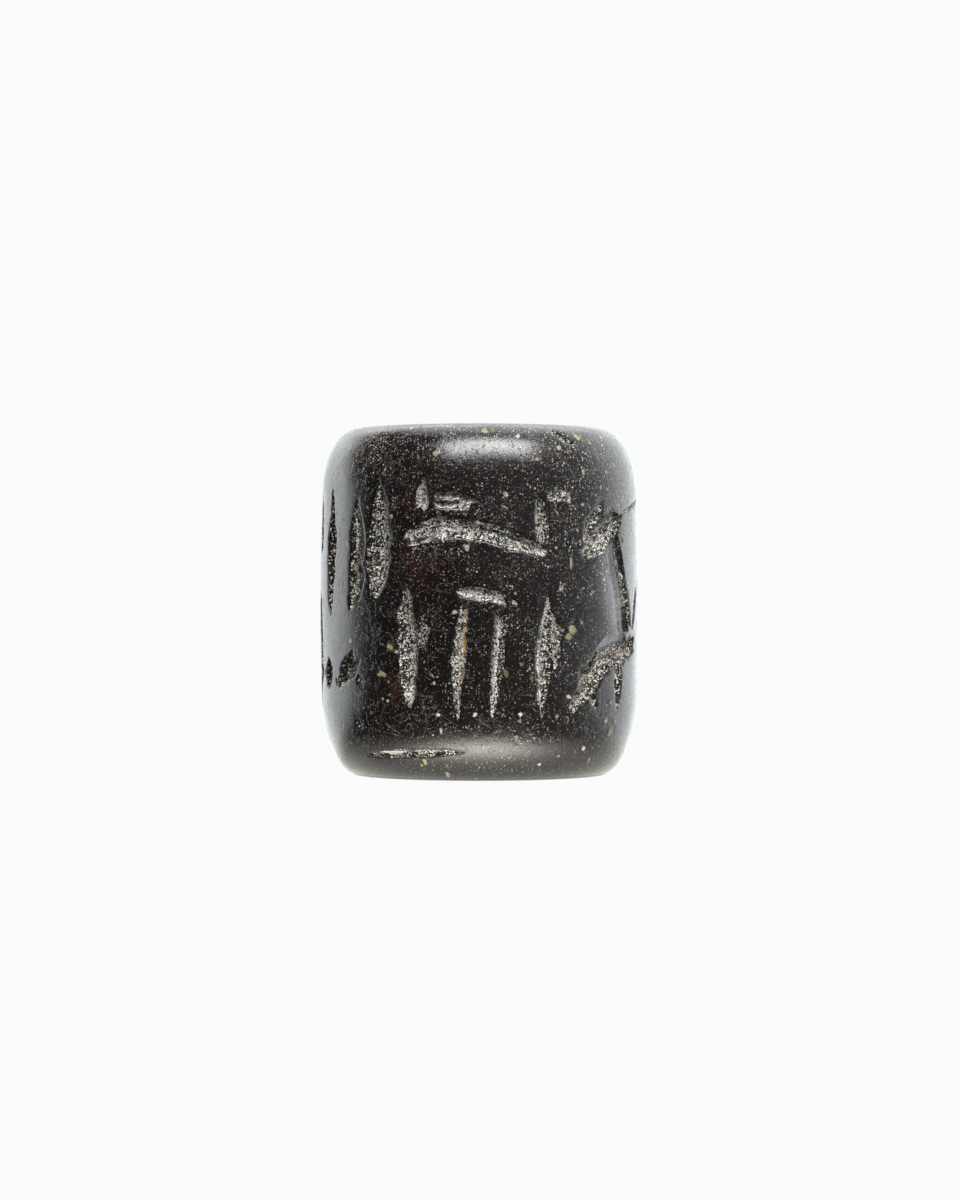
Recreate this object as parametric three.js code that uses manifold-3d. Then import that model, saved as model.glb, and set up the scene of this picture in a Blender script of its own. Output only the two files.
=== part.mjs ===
// Squat stone cylinder seal with rounded ends, a bore from end to end and two rows of engraved strokes.
// Millimetres, +Z up. The origin is the centre of the lower end, and the front of the seal faces -Y.
import * as THREE from "three";
import { mergeVertices } from "three/addons/utils/BufferGeometryUtils.js";
import Module from "manifold-3d";

const wasm = await Module();
wasm.setup();

// Driving dimensions of the stone
const SEAL_DIAMETER = 17.0;
const SEAL_HEIGHT = 18.4;
const WALL_CROWN = 0.25; // the wall's radius falls by this much from mid-height to each end
const TOP_ROUNDING_HEIGHT = 3.2;
const TOP_ROUNDING_DEPTH = 1.75;
const FOOT_ROUNDING_HEIGHT = 4.2;
const FOOT_ROUNDING_DEPTH = 1.85;
const BORE_MOUTH_DIAMETER = 6.4;
const BORE_WAIST_DIAMETER = 6.0; // drilled from both ends, so it is narrowest where the drillings meet
const BORE_LIP = 0.3;

// Gravers: the width and the depth of the stroke that each one cuts
const BROAD = { width: 1.6, depth: 0.5 };
const STOUT = { width: 1.25, depth: 0.42 };
const FULL = { width: 0.95, depth: 0.36 };
const PLAIN = { width: 0.75, depth: 0.34 };
const SLIM = { width: 0.45, depth: 0.24 };
const SCRAPER = { width: 0.8, depth: 0.18 };
const SWEEP = { width: 1.0, depth: 0.22 };

// Stones that grind a smooth facet and don't cut
const RUBBER = { width: 2.8, depth: 0.24 };
const BEVEL = { width: 1.0, depth: 0.34 };

// How finely the faces are cut up
const WALL_FACETS = 72;
const ROUNDING_STEPS = 5;
const WALL_STEPS = 3;
const LIP_STEPS = 2;
const STROKE_STEPS = 6;
const SHORT_STROKE = 2.5; // a stroke under this length gets SHORT_STROKE_STEPS
const SHORT_STROKE_STEPS = 4;

// Strokes. Each is [turn, rise, turn, rise, graver, shape]: the two ends, as degrees round the seal from
// the front towards +X and as shares of the height. Shape may hold bow, in millimetres to the left of the
// way from the first end to the second; peak, where along it the stroke is widest; head and tail, how full
// it still is at its first and second end; and lean, how far its floor lies to the left, from -1 to 1.
const GROUND_FACETS = [
  [49.0, 0.73, 60.0, 0.4, RUBBER, { head: 0.6, tail: 0.8, lean: 0.92 }],
  [42.0, 0.314, 65.3, 0.394, BEVEL, { bow: 0.48, head: 0.1, peak: 0.6, tail: 0.5, lean: -0.9 }],
  [-48.4, 0.765, -47.2, 0.605, BEVEL, { head: 0.15, peak: 0.6, tail: 0.3, lean: -0.9 }],
  [-47.2, 0.61, -48.9, 0.5, BEVEL, { head: 0.3, peak: 0.4, tail: 0.3, lean: -0.9 }],
];
const LEFT_UPRIGHTS = [
  [-66.4, 0.82, -66.0, 0.73, SLIM],
  [-66.6, 0.75, -67.6, 0.46, STOUT, { head: 0.4, peak: 0.25 }],
  [-49.0, 0.795, -51.8, 0.485, PLAIN, { tail: 0.4 }],
  [-37.6, 0.842, -39.8, 0.525, BROAD, { bow: 0.12, peak: 0.65, tail: 0.35 }],
];
const LEFT_NICKS = [
  [-59.3, 0.271, -49.4, 0.348, STOUT, { head: 0.2, peak: 0.65, tail: 0.5 }],
  [-48.2, 0.296, -46.6, 0.259, SLIM],
  [-67.6, 0.326, -73.0, 0.266, STOUT],
  [-50.8, 0.177, -48.5, 0.14, SLIM],
];
const TICK_AND_BAR = [
  [-19.9, 0.843, -20.7, 0.762, PLAIN, { peak: 0.85, tail: 0.8, lean: 0.5 }],
  [-16.0, 0.796, -4.0, 0.788, SLIM, { head: 0.8, tail: 0.4 }],
  [-15.6, 0.772, -2.8, 0.769, SLIM, { head: 0.6, tail: 0.8 }],
];
const LONG_WAVE = [
  [-29.6, 0.675, 2.2, 0.686, SWEEP, { bow: 0.38, peak: 0.5, tail: 0.85 }],
  [-2.6, 0.7, 24.0, 0.635, SWEEP, { head: 0.85, peak: 0.3, tail: 0.5 }],
  [-26.4, 0.661, -13.7, 0.688, SLIM],
  [-21.0, 0.714, -4.0, 0.706, SCRAPER, { bow: 0.12 }],
];
const UPRIGHT_AND_CAP = [
  [22.6, 0.667, 21.3, 0.79, PLAIN, { head: 0.9, peak: 0.3, tail: 0.5 }],
  [24.4, 0.792, 34.9, 0.776, SCRAPER, { bow: 0.3, head: 0.6, peak: 0.45 }],
];
const RIGHT_LEAVES = [
  [39.3, 0.659, 48.7, 0.776, FULL, { head: 0.4, peak: 0.4 }],
  [40.0, 0.631, 60.6, 0.749, BROAD, { head: 0.12, tail: 0.4, lean: 0.3 }],
];
const RIGHT_LINES = [
  [57.0, 0.674, 67.2, 0.489, SLIM, { head: 0.15, peak: 0.8, tail: 0.9 }],
  [67.2, 0.494, 69.3, 0.425, SLIM, { head: 0.8, tail: 0.3 }],
  [78.3, 0.543, 71.5, 0.415, SLIM],
];
const RIGHT_DIAGONAL = [
  [34.0, 0.196, 50.6, 0.351, BROAD, { peak: 0.65, tail: 0.45 }],
  [48.5, 0.335, 74.9, 0.383, STOUT, { head: 0.3, peak: 0.4, tail: 0.6 }],
  [42.4, 0.258, 46.3, 0.2, SLIM, { head: 0.7 }],
  [58.9, 0.359, 59.3, 0.197, PLAIN, { head: 0.6, peak: 0.35 }],
];
const LOBED_SPINDLE = [
  [-26.4, 0.536, -25.8, 0.197, STOUT, { head: 0.3, peak: 0.48, lean: 0.3 }],
  [-22.4, 0.372, -17.8, 0.468, FULL, { head: 0.6, peak: 0.6, tail: 0.45 }],
  [-34.0, 0.39, -29.5, 0.355, SLIM, { head: 0.6 }],
];
const PAIRED_UPRIGHTS = [
  [-5.2, 0.491, -7.9, 0.168, PLAIN, { bow: -0.12, head: 0.5, peak: 0.45, lean: 0.2 }],
  [7.7, 0.474, 4.5, 0.172, PLAIN, { head: 0.8, peak: 0.2, lean: -0.4 }],
  [-7.4, 0.527, 9.4, 0.503, SCRAPER, { bow: 0.12, head: 0.5, tail: 0.6 }],
];
const BARBED_SPINDLE = [
  [25.4, 0.52, 22.6, 0.181, FULL, { bow: -0.13, lean: -0.45 }],
  [26.6, 0.472, 27.1, 0.311, SCRAPER, { bow: 0.1, head: 0.3, peak: 0.45 }],
];
const FOOT_GROOVE = [[-48.0, 0.07, -4.6, 0.083, SLIM, { head: 0.3 }]];
const TOP_CHIP = [[29.0, 0.978, 39.0, 0.94, SLIM]];

// The back carries plainer strokes: one run of forms, repeated along each row. The lean and the share of
// the row that a form takes are its own, and its place comes from its number.
const BACK_FORMS = [
  { lean: -5, from: 0.0, to: 0.95, graver: STOUT },
  { lean: 9, from: 0.3, to: 0.8, graver: PLAIN },
  { lean: 2, from: 0.05, to: 1.0, graver: BROAD },
  { lean: -12, from: 0.35, to: 0.62, graver: STOUT },
  { lean: 4, from: 0.1, to: 0.9, graver: PLAIN },
];
const BACK_FROM = 93; // degrees round from the front
const BACK_TO = 277;
const BACK_ROWS = [
  { low: 0.645, high: 0.83, strokes: 11, first: 0 },
  { low: 0.19, high: 0.52, strokes: 11, first: 2 },
];

const sealRadius = SEAL_DIAMETER / 2;
const midHeight = SEAL_HEIGHT / 2;
const boreMouthRadius = BORE_MOUTH_DIAMETER / 2;
const boreWaistRadius = BORE_WAIST_DIAMETER / 2;
const endWall = sealRadius - WALL_CROWN - boreMouthRadius - BORE_LIP;
const END_FACE_LEAST = 0.2; // share of the wall that stays flat on each end
const topDepth = Math.min(TOP_ROUNDING_DEPTH, endWall * (1 - END_FACE_LEAST));
const footDepth = Math.min(FOOT_ROUNDING_DEPTH, endWall * (1 - END_FACE_LEAST));

// Radius of the outside at a height: a crowned wall, drawn in to an ellipse at each end.
function outerRadius(z) {
  const fromMiddle = (z - midHeight) / midHeight;
  const intoTop = (z - (SEAL_HEIGHT - TOP_ROUNDING_HEIGHT)) / TOP_ROUNDING_HEIGHT;
  const intoFoot = (FOOT_ROUNDING_HEIGHT - z) / FOOT_ROUNDING_HEIGHT;
  const fall = (into, depth) => depth * (1 - Math.sqrt(1 - THREE.MathUtils.clamp(into, 0, 1) ** 2));
  return (
    sealRadius - WALL_CROWN * fromMiddle ** 2 - fall(intoTop, topDepth) - fall(intoFoot, footDepth)
  );
}

// Heights at which the outside is sampled, close together where it turns.
function outerHeights() {
  const quarter = (k) => Math.sin(((k / ROUNDING_STEPS) * Math.PI) / 2);
  const steps = [...Array(ROUNDING_STEPS + 1).keys()];
  const foot = steps.map((k) => FOOT_ROUNDING_HEIGHT * (1 - quarter(ROUNDING_STEPS - k)));
  const topStart = SEAL_HEIGHT - TOP_ROUNDING_HEIGHT;
  const top = steps.map((k) => topStart + TOP_ROUNDING_HEIGHT * quarter(k));
  const wall = [];
  for (let k = 1; k < WALL_STEPS; k++) {
    wall.push(THREE.MathUtils.lerp(FOOT_ROUNDING_HEIGHT, topStart, k / WALL_STEPS));
  }
  return [...foot, ...wall, ...top];
}

// Rounded edge of the bore at one end, from the end face into the bore.
function boreLip(endZ, inward) {
  const points = [];
  for (let k = 0; k <= LIP_STEPS; k++) {
    const a = ((k / LIP_STEPS) * Math.PI) / 2;
    const r = boreMouthRadius + BORE_LIP * (1 - Math.sin(a));
    points.push(new THREE.Vector2(r, endZ + inward * BORE_LIP * (1 - Math.cos(a))));
  }
  return points;
}

// The stone before engraving: one closed outline, turned round the axis.
function plainStone() {
  const outline = outerHeights().map((z) => new THREE.Vector2(outerRadius(z), z));
  outline.push(...boreLip(SEAL_HEIGHT, -1));
  outline.push(new THREE.Vector2(boreWaistRadius, midHeight));
  outline.push(...boreLip(0, 1).reverse());
  outline.push(outline[0].clone());
  return new THREE.LatheGeometry(outline, WALL_FACETS).rotateX(Math.PI / 2);
}

// A point off the outside: turn in radians, height, and how far out along the surface's own normal.
function offSurface(turn, z, out) {
  const step = 0.01;
  const slope = (outerRadius(z + step) - outerRadius(z - step)) / (2 * step);
  const length = Math.hypot(1, slope);
  const r = outerRadius(z) + out / length;
  return new THREE.Vector3(r * Math.sin(turn), -r * Math.cos(turn), z - (out * slope) / length);
}

// How full a stroke is along its length: least at an end, where u is 0 or 1, and 1 at its peak, at 0.5.
function fullness(u, least) {
  return least + (1 - least) * Math.sin(Math.PI * u) ** 0.75;
}

// The solid that one stroke removes: a spindle with a flat-bottomed V section, lofted over the surface.
function strokeCutter([turn0, rise0, turn1, rise1, graver, shape = {}]) {
  const point = 0.08; // how full a pointed end is
  const { bow = 0, peak = 0.5, head = point, tail = point, lean = 0 } = shape;
  const lift = 0.4; // how far the cutter stands out of the stone
  const floorShare = 0.3; // the flat bottom's share of the width
  const arc0 = THREE.MathUtils.degToRad(turn0) * sealRadius;
  const arc1 = THREE.MathUtils.degToRad(turn1) * sealRadius;
  const along = new THREE.Vector2(arc1 - arc0, (rise1 - rise0) * SEAL_HEIGHT);
  const side = new THREE.Vector2(-along.y, along.x).normalize();
  const steps = along.length() < SHORT_STROKE ? SHORT_STROKE_STEPS : STROKE_STEPS;
  const rings = [];
  for (let k = 0; k <= steps; k++) {
    const u = k / steps;
    const t = u < 0.5 ? 2 * u * peak : peak + (2 * u - 1) * (1 - peak);
    const full = fullness(u, t < peak ? head : tail);
    const sway = bow * 4 * t * (1 - t);
    const half = (graver.width * full) / 2;
    const floorHalf = half * floorShare;
    const floorMiddle = (half - floorHalf) * lean;
    const section = [
      [half, lift],
      [half, 0],
      [floorMiddle + floorHalf, -graver.depth * full],
      [floorMiddle - floorHalf, -graver.depth * full],
      [-half, 0],
      [-half, lift],
    ];
    rings.push(
      section.map(([across, out]) => {
        const arc = arc0 + along.x * t + side.x * (across + sway);
        const z = rise0 * SEAL_HEIGHT + along.y * t + side.y * (across + sway);
        return offSurface(arc / sealRadius, z, out);
      }),
    );
  }
  return loft(rings);
}

// A closed mesh through rings of equal length, with flat ends.
function loft(rings) {
  const count = rings[0].length;
  const index = [];
  for (let i = 0; i + 1 < rings.length; i++) {
    for (let j = 0; j < count; j++) {
      const a = i * count + j;
      const b = i * count + ((j + 1) % count);
      index.push(a, b, b + count, a, b + count, a + count);
    }
  }
  const last = (rings.length - 1) * count;
  for (let j = 1; j + 1 < count; j++) {
    index.push(0, j + 1, j, last, last + j, last + j + 1);
  }
  return new THREE.BufferGeometry().setFromPoints(rings.flat()).setIndex(index);
}

// A manifold-3d solid with its faces pointing out, whichever way the mesh was wound.
function solidOf(geometry) {
  geometry.deleteAttribute("normal");
  geometry.deleteAttribute("uv");
  const merged = mergeVertices(geometry, 1e-4);
  const triVerts = new Uint32Array(merged.index.array);
  const build = () =>
    new wasm.Manifold(
      new wasm.Mesh({ numProp: 3, vertProperties: merged.attributes.position.array, triVerts }),
    );
  const made = build();
  if (made.volume() > 0) return made;
  for (let i = 0; i < triVerts.length; i += 3) {
    [triVerts[i], triVerts[i + 1]] = [triVerts[i + 1], triVerts[i]];
  }
  return build();
}

// The strokes of one row of the back.
function backRow({ low, high, strokes, first }) {
  const pitch = (BACK_TO - BACK_FROM) / (strokes - 1);
  return [...Array(strokes).keys()].map((k) => {
    const form = BACK_FORMS[(first + k) % BACK_FORMS.length];
    const turn = BACK_FROM + pitch * k;
    const foot = THREE.MathUtils.lerp(low, high, form.from);
    const head = THREE.MathUtils.lerp(low, high, form.to);
    return [turn - form.lean / 2, foot, turn + form.lean / 2, head, form.graver];
  });
}

function allStrokes() {
  return [
    ...GROUND_FACETS,
    ...LEFT_UPRIGHTS,
    ...LEFT_NICKS,
    ...TICK_AND_BAR,
    ...LONG_WAVE,
    ...UPRIGHT_AND_CAP,
    ...RIGHT_LEAVES,
    ...RIGHT_LINES,
    ...RIGHT_DIAGONAL,
    ...LOBED_SPINDLE,
    ...PAIRED_UPRIGHTS,
    ...BARBED_SPINDLE,
    ...FOOT_GROOVE,
    ...TOP_CHIP,
    ...BACK_ROWS.flatMap(backRow),
  ];
}

function engravedStone() {
  let stone = solidOf(plainStone());
  for (const stroke of allStrokes()) {
    stone = stone.subtract(solidOf(strokeCutter(stroke)));
  }
  const { numProp, vertProperties, triVerts } = stone.getMesh();
  const corners = new THREE.InterleavedBuffer(vertProperties, numProp);
  return new THREE.BufferGeometry()
    .setAttribute("position", new THREE.InterleavedBufferAttribute(corners, 3, 0))
    .setIndex(new THREE.BufferAttribute(triVerts, 1));
}

const blackStone = new THREE.MeshStandardMaterial({
  color: 0x1d1a19,
  roughness: 0.3,
  metalness: 0,
  flatShading: true,
});

const seal = new THREE.Group();
const stone = new THREE.Mesh(engravedStone(), blackStone);
stone.name = "seal_stone";
seal.add(stone);

export default seal;
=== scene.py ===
import math
from typing import NamedTuple

import bmesh
import bpy
import numpy as np
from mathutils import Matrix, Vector, noise


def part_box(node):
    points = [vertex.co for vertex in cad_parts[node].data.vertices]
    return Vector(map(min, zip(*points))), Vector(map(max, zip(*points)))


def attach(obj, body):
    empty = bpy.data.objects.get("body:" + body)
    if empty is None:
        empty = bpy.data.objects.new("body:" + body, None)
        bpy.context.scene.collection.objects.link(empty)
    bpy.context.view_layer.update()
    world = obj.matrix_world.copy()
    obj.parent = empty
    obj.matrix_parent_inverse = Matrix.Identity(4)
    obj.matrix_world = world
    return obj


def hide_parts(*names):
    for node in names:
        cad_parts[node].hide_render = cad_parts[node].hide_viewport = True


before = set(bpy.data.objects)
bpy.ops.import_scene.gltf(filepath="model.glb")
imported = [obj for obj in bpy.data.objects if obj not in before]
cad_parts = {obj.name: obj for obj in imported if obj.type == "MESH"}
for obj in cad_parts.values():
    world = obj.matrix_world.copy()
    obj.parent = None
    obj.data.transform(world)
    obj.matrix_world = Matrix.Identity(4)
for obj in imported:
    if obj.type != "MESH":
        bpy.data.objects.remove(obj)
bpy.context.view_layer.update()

# A squat black stone seal, standing on its lower end, with two rows of engraved strokes round it.
# Lengths are in millimetres until a mesh is made. A turn is in degrees round the seal from the front
# (-Y) towards +X, a rise is a share of the height, and a run is the way along the stone's outline.

MM = 0.001
lowest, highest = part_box("seal_stone")
SEAL_HEIGHT = (highest.z - lowest.z) / MM
SEAL_RADIUS = (highest.x - lowest.x) / MM / 2
CIRCUMFERENCE = 2 * math.pi * SEAL_RADIUS
MID_HEIGHT = SEAL_HEIGHT / 2

# The outline, as the solid has it
WALL_CROWN = 0.25
TOP_ROUNDING_HEIGHT = 3.2
TOP_ROUNDING_DEPTH = 1.75
FOOT_ROUNDING_HEIGHT = 4.2
FOOT_ROUNDING_DEPTH = 1.85
BORE_MOUTH_RADIUS = 3.2
BORE_WAIST_RADIUS = 3.0
BORE_LIP = 0.3

# How finely the surface is divided before the marks refine it
SURFACE_CELL = 0.25
FACE_CELL = 0.3
LIP_CELL = 0.1
BORE_CELL = 0.6
MARK_REACHES = (0.4, 0.13)  # each round of refining halves the cells that are this near to a mark
SEAM_TURN = 176.0  # the back has no stroke here
LAYOUT_LENGTH = 26.0  # the whole height of the texture layout, at the scale that it has on the wall

# What use and the tools left on the surface
SLOW_SWELL = 0.06  # how far the polished wall is uneven, in long swells and in short ones
SHORT_SWELL = 0.008
LIP_WEAR = 0.012  # how far the rims of the cuts are worn down, and how far out the wear reaches
LIP_WEAR_REACH = 0.09
FLOOR_SHARE = 0.3  # of a cut's width
WALL_STEEPNESS = 0.8  # below 1 the walls of a cut are hollow, and above 1 they bulge
END_WALL = 0.12
EDGE_STRAY = 0.035
RAGGED_WIDTH = 0.2  # how far a cut's width changes along each edge, as a share
RAGGED_ENDS = 0.25  # how far its ends fray, as a share of its tool's width
WANDER = 0.04  # how far it strays from its line
COMBED = 0.22  # how far its depth changes across it, as a share
CUT_GRIT = 0.035
DEEPEST_LINE = 0.065  # half the width of the pale line along a cut's floor: dust settled there, and painted reflection of the floor
GRAIN_STANDS_OUT = 0.03


class Graver(NamedTuple):
    width: float
    depth: float


BROAD = Graver(1.6, 0.5)
STOUT = Graver(1.25, 0.42)
FULL = Graver(0.95, 0.36)
PLAIN = Graver(0.75, 0.34)
SLIM = Graver(0.45, 0.24)
SCRAPER = Graver(0.8, 0.18)
SWEEP = Graver(1.0, 0.22)
RUBBER = Graver(2.8, 0.24)
BEVEL = Graver(1.0, 0.34)
NEEDLE = Graver(0.26, 0.1)
HAIR = Graver(0.13, 0.05)

POINTED = 0.08  # how full a stroke still is at a pointed end


class Stroke(NamedTuple):
    """One cut: its two ends, its tool, and what has settled in it."""

    turn0: float
    rise0: float
    turn1: float
    rise1: float
    graver: Graver
    bow: float = 0.0  # to the left of the way from the first end to the second
    peak: float = 0.5  # where along it the cut is widest
    head: float = POINTED  # how full it still is at its first end
    tail: float = POINTED
    lean: float = 0.0  # how far its floor lies to the left, from -1 to 1
    dust: float = 0.85
    earth: float = 0.15
    polished: bool = False


def settled(strokes, dust, earth):
    """The strokes, with the same dust and earth in each."""
    return [stroke._replace(dust=dust, earth=earth) for stroke in strokes]


# Their dust is kept at none or low, which keeps their insides dark: painted shade of these deep cuts seen
# from the side
LEFT_UPRIGHTS = [
    Stroke(-66.4, 0.82, -66.0, 0.73, SLIM, dust=0.0, earth=0.8),
    Stroke(-66.6, 0.75, -67.6, 0.46, STOUT, head=0.4, peak=0.25, dust=0.0, earth=0.8),
    Stroke(-49.0, 0.795, -51.8, 0.485, PLAIN, tail=0.4, dust=0.15, earth=0.6),
    Stroke(-37.6, 0.842, -39.8, 0.525, BROAD, bow=0.12, peak=0.65, tail=0.35, dust=0.22, earth=0.25),
]
LEFT_NICKS = settled(
    [
        Stroke(-59.3, 0.271, -49.4, 0.348, STOUT, head=0.2, peak=0.65, tail=0.5),
        Stroke(-48.2, 0.296, -46.6, 0.259, SLIM),
        Stroke(-67.6, 0.326, -73.0, 0.266, STOUT),
        Stroke(-50.8, 0.177, -48.5, 0.14, SLIM),
        Stroke(-63.1, 0.287, -61.4, 0.259, NEEDLE),
    ],
    dust=0.1,
    earth=0.9,
)
TICK_AND_BAR = settled(
    [
        Stroke(-19.9, 0.843, -20.7, 0.762, PLAIN, peak=0.85, tail=0.8, lean=0.5),
        Stroke(-16.0, 0.796, -4.0, 0.788, SLIM, head=0.8, tail=0.4),
        Stroke(-15.6, 0.772, -2.8, 0.769, SLIM, head=0.6, tail=0.8),
        Stroke(-7.0, 0.784, -2.4, 0.774, SLIM, head=0.8, tail=0.7),
    ],
    dust=0.5,
    earth=0.3,
)
LONG_WAVE = settled(
    [
        Stroke(-29.6, 0.675, 2.2, 0.686, SWEEP, bow=0.38, peak=0.5, tail=0.85),
        Stroke(-2.6, 0.7, 24.0, 0.635, SWEEP, head=0.85, peak=0.3, tail=0.5),
        Stroke(-26.4, 0.661, -13.7, 0.688, SLIM),
        Stroke(-21.0, 0.714, -4.0, 0.706, SCRAPER, bow=0.12),
    ],
    dust=0.35,
    earth=0.25,
)
UPRIGHT_AND_CAP = settled(
    [
        Stroke(22.6, 0.667, 21.3, 0.79, PLAIN, head=0.9, peak=0.3, tail=0.5),
        Stroke(24.4, 0.792, 34.9, 0.776, SCRAPER, bow=0.3, head=0.6, peak=0.45),
    ],
    dust=0.3,
    earth=0.3,
)
RIGHT_LEAVES = [
    Stroke(39.3, 0.659, 48.7, 0.776, FULL, head=0.4, peak=0.4, dust=0.15, earth=0.6),
    Stroke(40.0, 0.631, 60.6, 0.749, BROAD, head=0.12, tail=0.4, lean=0.3, dust=0.32, earth=0.5),
]
RIGHT_LINES = settled(
    [
        Stroke(57.0, 0.674, 67.2, 0.489, SLIM, head=0.15, peak=0.8, tail=0.9),
        Stroke(67.2, 0.494, 69.3, 0.425, SLIM, head=0.8, tail=0.3),
        Stroke(78.3, 0.543, 71.5, 0.415, SLIM),
        Stroke(59.6, 0.746, 84.0, 0.797, NEEDLE),
    ],
    dust=0.25,
    earth=1.0,
)
RIGHT_DIAGONAL = settled(
    [
        Stroke(34.0, 0.196, 50.6, 0.351, BROAD, peak=0.65, tail=0.45),
        Stroke(48.5, 0.335, 74.9, 0.383, STOUT, head=0.3, peak=0.4, tail=0.6),
        Stroke(42.4, 0.258, 46.3, 0.2, SLIM, head=0.7),
        Stroke(58.9, 0.359, 59.3, 0.197, PLAIN, head=0.6, peak=0.35),
    ],
    dust=0.25,
    earth=0.9,
)
LOBED_SPINDLE = settled(
    [
        Stroke(-26.4, 0.536, -25.8, 0.197, STOUT, head=0.3, peak=0.48, lean=0.3),
        Stroke(-22.4, 0.372, -17.8, 0.468, FULL, head=0.6, peak=0.6, tail=0.45),
        Stroke(-34.0, 0.39, -29.5, 0.355, SLIM, head=0.6),
    ],
    dust=0.16,
    earth=0.5,
)
PAIRED_UPRIGHTS = [
    Stroke(-5.2, 0.491, -7.9, 0.168, PLAIN, bow=-0.12, head=0.5, peak=0.45, lean=0.2, dust=0.3, earth=0.6),
    Stroke(7.7, 0.474, 4.5, 0.172, PLAIN, head=0.8, peak=0.2, lean=-0.4, dust=0.16, earth=0.3),
    Stroke(-7.4, 0.527, 9.4, 0.503, SCRAPER, bow=0.12, head=0.5, tail=0.6, dust=0.55, earth=0.1),
    Stroke(10.9, 0.503, 13.6, 0.488, NEEDLE, dust=1.0),
]
BARBED_SPINDLE = settled(
    [
        Stroke(25.4, 0.52, 22.6, 0.181, FULL, bow=-0.13, lean=-0.45),
        Stroke(26.6, 0.472, 27.1, 0.311, SCRAPER, bow=0.1, head=0.3, peak=0.45),
        Stroke(27.4, 0.4, 31.4, 0.43, NEEDLE, head=0.6),
        Stroke(31.0, 0.427, 37.4, 0.458, HAIR),
    ],
    dust=0.24,
    earth=0.3,
)
GROUND_FACETS = [
    Stroke(49.0, 0.73, 60.0, 0.4, RUBBER, head=0.6, tail=0.8, lean=0.92, polished=True),
    Stroke(
        42.0, 0.314, 65.3, 0.394, BEVEL, bow=0.48, head=0.1, peak=0.6, tail=0.5, lean=-0.9, polished=True
    ),
    Stroke(-48.4, 0.765, -47.2, 0.605, BEVEL, head=0.15, peak=0.6, tail=0.3, lean=-0.9, polished=True),
    Stroke(-47.2, 0.61, -48.9, 0.5, BEVEL, head=0.3, peak=0.4, tail=0.3, lean=-0.9, polished=True),
]
ENDS = [
    Stroke(-48.0, 0.07, -4.6, 0.083, SLIM, head=0.3, dust=0.2, earth=0.3),
    Stroke(29.0, 0.978, 39.0, 0.94, SLIM, dust=0.1, earth=0.9),
]
SCRATCHES = settled(
    [
        Stroke(-20.8, 0.665, -25.2, 0.626, HAIR),
        Stroke(8.3, 0.805, 10.6, 0.79, NEEDLE),
        Stroke(6.9, 0.768, 10.8, 0.758, HAIR),
        Stroke(-35.2, 0.9, -37.0, 0.84, HAIR),
        Stroke(-18.2, 0.312, -15.4, 0.285, HAIR),
        Stroke(-37.6, 0.17, -30.2, 0.128, HAIR),
        Stroke(-25.8, 0.19, -25.5, 0.168, HAIR),
        Stroke(32.0, 0.19, 34.2, 0.165, HAIR),
        Stroke(-45.2, 0.77, -43.4, 0.76, HAIR),
        Stroke(-16.0, 0.755, -13.2, 0.742, HAIR),
    ],
    dust=0.6,
    earth=0.2,
)

# The back carries plainer strokes: one run of forms, repeated along each row, as on the solid.
BACK_FORMS = [
    (-5, 0.0, 0.95, STOUT),
    (9, 0.3, 0.8, PLAIN),
    (2, 0.05, 1.0, BROAD),
    (-12, 0.35, 0.62, STOUT),
    (4, 0.1, 0.9, PLAIN),
]  # lean in degrees, the share of the row that the stroke takes, and its tool
BACK_FROM = 93.0
BACK_TO = 277.0
BACK_ROWS = [(0.645, 0.83, 11, 0), (0.19, 0.52, 11, 2)]  # lower and upper rise, strokes, first form


def back_row(low, high, count, first):
    """One row of strokes round the back, evenly spaced, from its first form on."""
    pitch = (BACK_TO - BACK_FROM) / (count - 1)
    strokes = []
    for k in range(count):
        lean, foot, head, graver = BACK_FORMS[(first + k) % len(BACK_FORMS)]
        turn = BACK_FROM + pitch * k
        rise0 = low + (high - low) * foot
        rise1 = low + (high - low) * head
        strokes.append(Stroke(turn - lean / 2, rise0, turn + lean / 2, rise1, graver))
    return settled(strokes, dust=0.3, earth=0.35)


STROKES = [
    *LEFT_UPRIGHTS,
    *LEFT_NICKS,
    *TICK_AND_BAR,
    *LONG_WAVE,
    *UPRIGHT_AND_CAP,
    *RIGHT_LEAVES,
    *RIGHT_LINES,
    *GROUND_FACETS,
    *RIGHT_DIAGONAL,
    *LOBED_SPINDLE,
    *PAIRED_UPRIGHTS,
    *BARBED_SPINDLE,
    *ENDS,
    *SCRATCHES,
]
for row in BACK_ROWS:
    STROKES += back_row(*row)

# Tints of the grains that have settled on the stone, as places on one ramp
BROWN = 0.0
GOLD = 0.33
OLIVE = 0.66
PALE = 1.0


class Grain(NamedTuple):
    turn: float
    rise: float
    width: float
    height: float
    tint: float


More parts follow.
